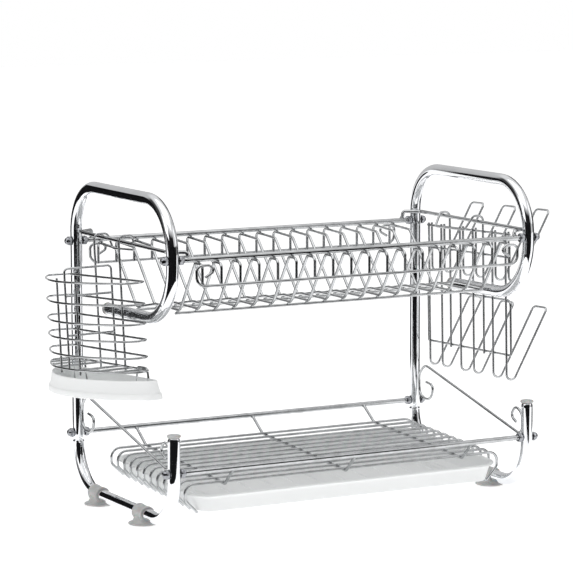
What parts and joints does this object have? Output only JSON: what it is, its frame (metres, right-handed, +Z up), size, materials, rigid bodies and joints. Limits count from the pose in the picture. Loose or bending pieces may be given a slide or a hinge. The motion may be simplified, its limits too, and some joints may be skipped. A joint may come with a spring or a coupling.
{
  "type": "dish drying rack",
  "caption": "Two-tier chrome wire dish drying rack with tube side frames, plate shelf, lower grille, slide-out drip tray, side cutlery basket and glass holder.",
  "frame": {"origin": "on the counter, under the middle of the rack", "axes": "+X along the rack towards the glass holder, -Y out of the front, +Z up"},
  "size_m": [0.5458, 0.2552, 0.3376],
  "materials": {
    "chrome_tube": "mirror chrome",
    "chrome_wire": "chrome plated wire",
    "nut_metal": "plated steel",
    "grey_plastic": "satin",
    "milky_plastic": "translucent satin"
  },
  "bodies": {
    "rack": {"left_upper_tube": "chrome_tube", "left_lower_tube": "chrome_tube", "left_arm_cap": "grey_plastic", "left_stub_cap": "grey_plastic", "left_front_foot": "grey_plastic", "left_rear_foot": "grey_plastic", "left_side_guard": "chrome_wire", "left_front_upper_nut": "nut_metal", "left_front_upper_cap_nut": "nut_metal", "left_rear_upper_nut": "nut_metal", "left_rear_upper_cap_nut": "nut_metal", "left_front_lower_nut": "nut_metal", "left_front_lower_cap_nut": "nut_metal", "left_rear_lower_nut": "nut_metal", "left_rear_lower_cap_nut": "nut_metal", "right_upper_tube": "chrome_tube", "right_lower_tube": "chrome_tube", "right_arm_cap": "grey_plastic", "right_stub_cap": "grey_plastic", "right_front_foot": "grey_plastic", "right_rear_foot": "grey_plastic", "right_side_guard": "chrome_wire", "right_front_upper_nut": "nut_metal", "right_front_upper_cap_nut": "nut_metal", "right_rear_upper_nut": "nut_metal", "right_rear_upper_cap_nut": "nut_metal", "right_front_lower_nut": "nut_metal", "right_front_lower_cap_nut": "nut_metal", "right_rear_lower_nut": "nut_metal", "right_rear_lower_cap_nut": "nut_metal", "upper_frame": "chrome_wire", "front_scroll_wire": "chrome_wire", "rear_scroll_wire": "chrome_wire", "front_trough_wire": "chrome_wire", "rear_trough_wire": "chrome_wire", "plate_wire_01": "chrome_wire", "plate_wire_02": "chrome_wire", "plate_wire_03": "chrome_wire", "plate_wire_04": "chrome_wire", "plate_wire_05": "chrome_wire", "plate_wire_06": "chrome_wire", "plate_wire_07": "chrome_wire", "plate_wire_08": "chrome_wire", "plate_wire_09": "chrome_wire", "plate_wire_10": "chrome_wire", "plate_wire_11": "chrome_wire", "plate_wire_12": "chrome_wire", "plate_wire_13": "chrome_wire", "plate_wire_14": "chrome_wire", "plate_wire_15": "chrome_wire", "plate_wire_16": "chrome_wire", "plate_wire_17": "chrome_wire", "plate_wire_18": "chrome_wire", "lower_shelf": "chrome_wire"},
    "tray": {"drip_tray": "milky_plastic"},
    "basket": {"cutlery_basket": "chrome_wire"},
    "cup": {"cutlery_drip_cup": "milky_plastic"},
    "glasses": {"glass_holder": "chrome_wire"}
  },
  "joints": [
    {"name": "tray_slide", "type": "slide", "parent": "rack", "child": "tray", "axis": [0, -0.999, -0.0456], "range_m": [0, 0.2]},
    {"name": "basket_lift", "type": "slide", "parent": "rack", "child": "basket", "axis": [0, 0, 1], "range_m": [0, 0.02]},
    {"name": "cup_pull_off", "type": "slide", "parent": "basket", "child": "cup", "axis": [0.0175, -0.068, -0.9975], "range_m": [0, 0.025]},
    {"name": "glasses_lift", "type": "slide", "parent": "rack", "child": "glasses", "axis": [0, 0, 1], "range_m": [0, 0.02]}
  ]
}
